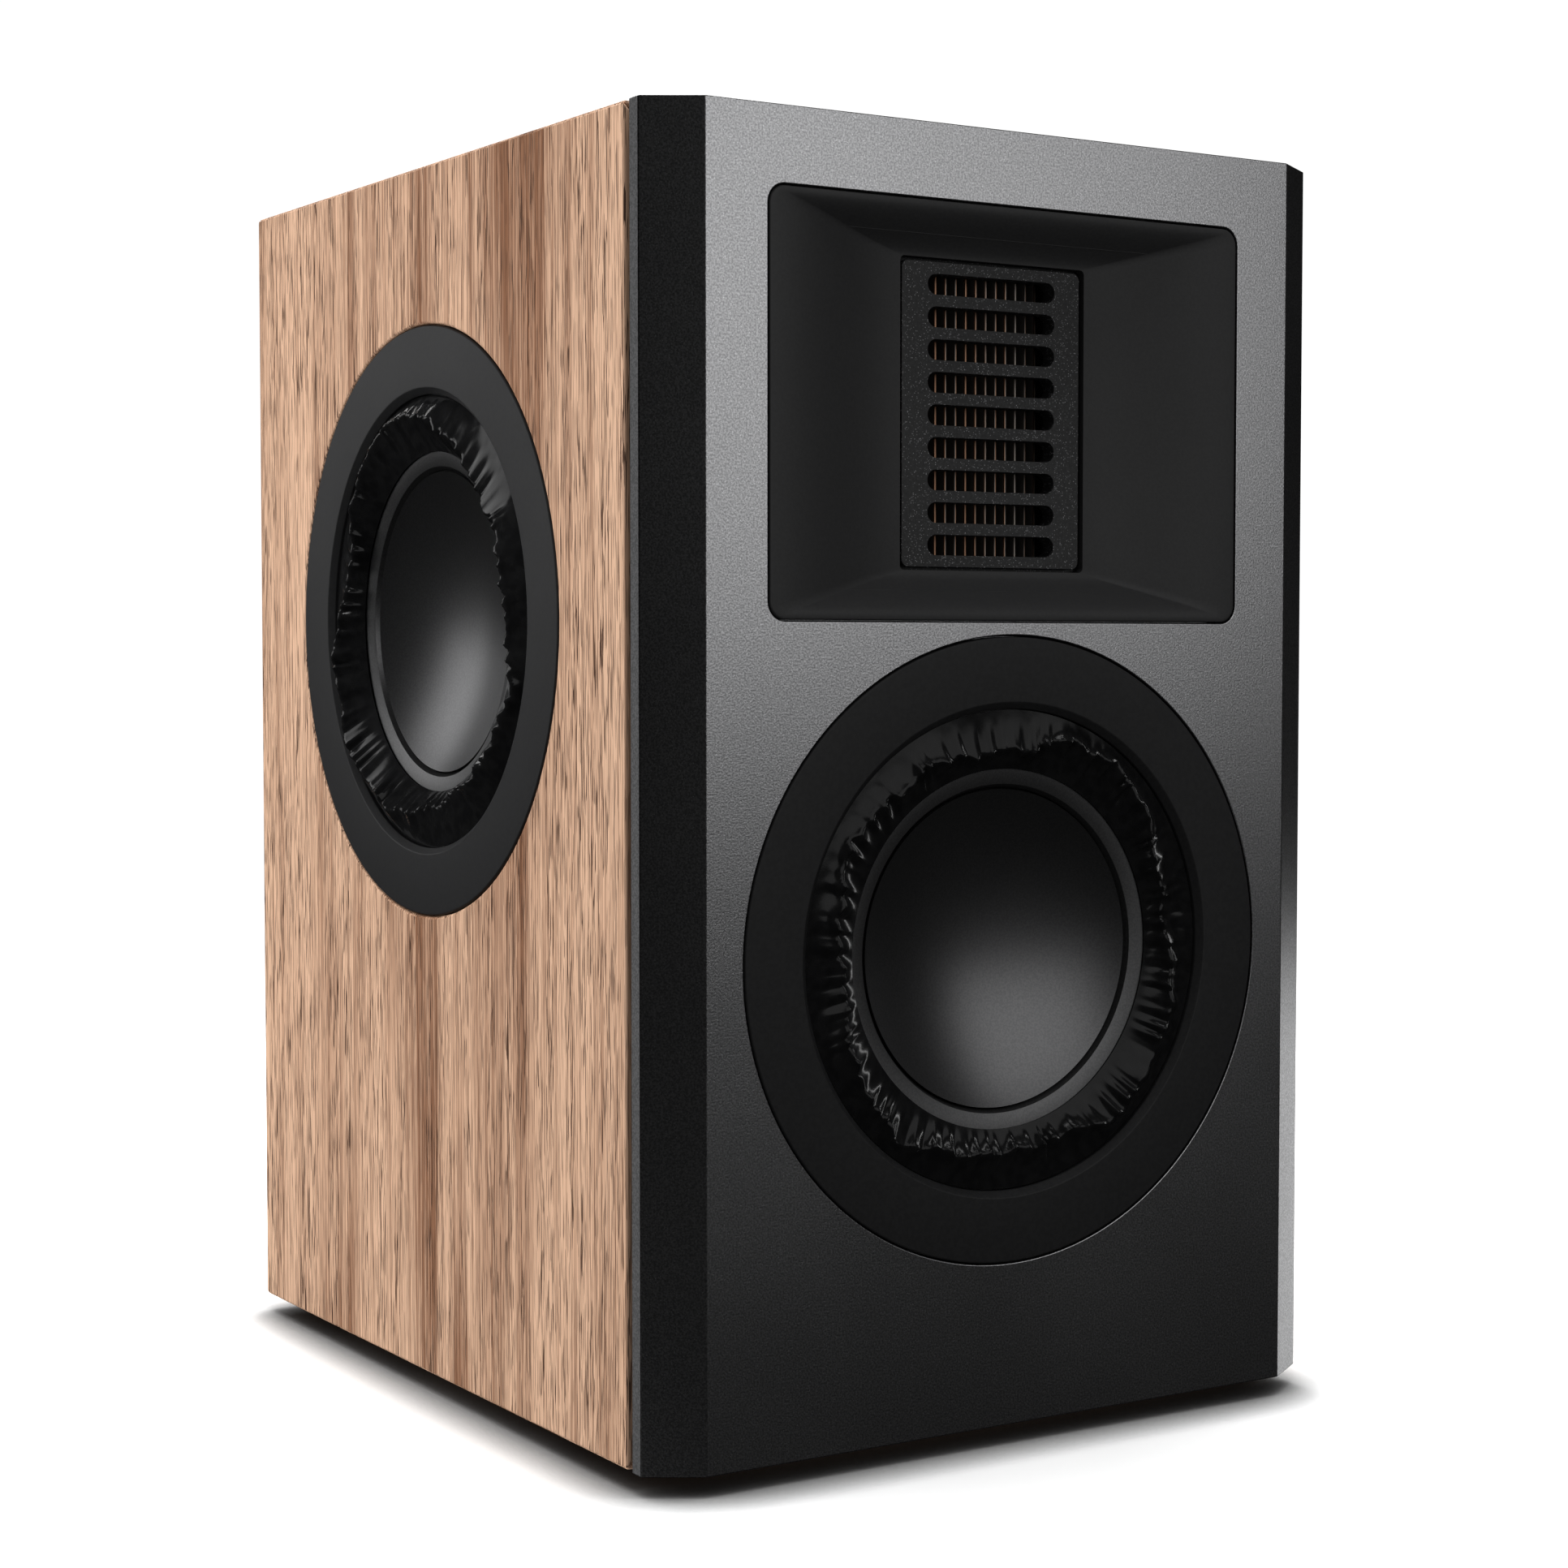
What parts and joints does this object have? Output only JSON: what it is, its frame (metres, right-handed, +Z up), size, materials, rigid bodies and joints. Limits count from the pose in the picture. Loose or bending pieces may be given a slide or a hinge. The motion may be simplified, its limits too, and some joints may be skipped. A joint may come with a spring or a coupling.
{
  "type": "bookshelf speaker",
  "caption": "Compact two-way bookshelf speaker: walnut cabinet, dark metal baffle, pleated tweeter in a rectangular horn, round woofer, passive radiators in the sides.",
  "frame": {"origin": "on the surface that the speaker stands on, under the middle of its box", "axes": "+Z up, -Y out of the front baffle, +X to the right of someone who faces the front"},
  "size_m": [0.162, 0.19, 0.26],
  "materials": {
    "anodised_grey": "bead-blasted dark anodised",
    "walnut": "open-pored veneer, matt lacquer",
    "satin_black": "satin moulded",
    "speckled_black": "powder coat with fine metal flake",
    "gloss_rubber": "glossy moulded",
    "cone_grey": "satin coated",
    "black_rubber": "matt",
    "cast_grey": "cast and powder coated",
    "ferrite": "sintered",
    "plated_steel": "zinc plated",
    "copper": null,
    "brass": "gold plated",
    "fibreboard": "bare medium-density fibreboard",
    "former_paper": "film",
    "board_green": "solder mask",
    "ceramic": "unglazed",
    "red_plastic": "moulded",
    "foam": "open-cell foam",
    "spider_cloth": "resin-treated cloth",
    "pleated_film": "thin film with metal conductors"
  },
  "bodies": {
    "cabinet": {"front_baffle": "anodised_grey", "baffle_seal": "black_rubber", "side_panel_left": "walnut", "side_panel_right": "walnut", "top_panel": "walnut", "bottom_panel": "walnut", "rear_panel": "satin_black", "window_brace": "fibreboard", "foot_front_left": "black_rubber", "foot_front_right": "black_rubber", "foot_rear_left": "black_rubber", "foot_rear_right": "black_rubber", "damping_foam": "foam", "woofer_trim_ring": "satin_black", "woofer_basket": "cast_grey", "woofer_gasket": "foam", "woofer_surround": "gloss_rubber", "woofer_spider": "spider_cloth", "woofer_top_plate": "plated_steel", "woofer_magnet": "ferrite", "woofer_yoke": "plated_steel", "left_radiator_trim_ring": "satin_black", "left_radiator_frame": "cast_grey", "left_radiator_surround": "gloss_rubber", "right_radiator_trim_ring": "satin_black", "right_radiator_frame": "cast_grey", "right_radiator_surround": "gloss_rubber", "waveguide": "satin_black", "tweeter_gasket": "foam", "tweeter_slot_plate": "speckled_black", "diaphragm_frame": "satin_black", "tweeter_diaphragm": "pleated_film", "tweeter_magnet_left": "plated_steel", "tweeter_magnet_right": "plated_steel", "tweeter_rear_plate": "plated_steel", "tweeter_rear_chamber": "satin_black", "positive_post_stud": "brass", "negative_post_stud": "brass", "terminal_cup": "satin_black", "crossover_board": "board_green", "woofer_inductor": "copper", "tweeter_capacitor": "red_plastic", "woofer_capacitor": "red_plastic", "tweeter_resistor": "ceramic", "woofer_lead": "black_rubber", "tweeter_lead": "black_rubber"},
    "woofer_diaphragm": {"woofer_cone": "cone_grey", "woofer_dish": "cone_grey", "woofer_coil_former": "former_paper", "woofer_voice_coil": "copper"},
    "left_radiator_diaphragm": {"left_radiator_cone": "cone_grey", "left_radiator_dish": "cone_grey", "left_radiator_weight": "plated_steel"},
    "right_radiator_diaphragm": {"right_radiator_cone": "cone_grey", "right_radiator_dish": "cone_grey", "right_radiator_weight": "plated_steel"},
    "positive_clamp": {"positive_clamp_washer": "brass"},
    "positive_knob": {"positive_post_knob": "red_plastic"},
    "negative_clamp": {"negative_clamp_washer": "brass"},
    "negative_knob": {"negative_post_knob": "satin_black"}
  },
  "joints": [
    {"name": "woofer_excursion", "type": "slide", "parent": "cabinet", "child": "woofer_diaphragm", "axis": [0, -1, 0], "range_m": [-0.004, 0.004], "stiffness_N_per_m": 1000},
    {"name": "left_radiator_excursion", "type": "slide", "parent": "cabinet", "child": "left_radiator_diaphragm", "axis": [-1, 0, 0], "range_m": [-0.005, 0.005], "stiffness_N_per_m": 800},
    {"name": "right_radiator_excursion", "type": "slide", "parent": "cabinet", "child": "right_radiator_diaphragm", "axis": [1, 0, 0], "range_m": [-0.005, 0.005], "stiffness_N_per_m": 800},
    {"name": "positive_post_travel", "type": "slide", "parent": "cabinet", "child": "positive_clamp", "axis": [0, 1, 0], "range_m": [0, 0.004]},
    {"name": "positive_post_turn", "type": "hinge", "parent": "positive_clamp", "child": "positive_knob", "pos_m": [0.00953, 0.095, 0.06], "axis": [0, 1, 0], "range_deg": [0, 1440]},
    {"name": "negative_post_travel", "type": "slide", "parent": "cabinet", "child": "negative_clamp", "axis": [0, 1, 0], "range_m": [0, 0.004]},
    {"name": "negative_post_turn", "type": "hinge", "parent": "negative_clamp", "child": "negative_knob", "pos_m": [-0.00953, 0.095, 0.06], "axis": [0, 1, 0], "range_deg": [0, 1440]}
  ],
  "couplings": [
    {"joint": "positive_post_turn", "follows": "positive_post_travel", "rad_per_m": 6283},
    {"joint": "negative_post_turn", "follows": "negative_post_travel", "rad_per_m": 6283}
  ]
}
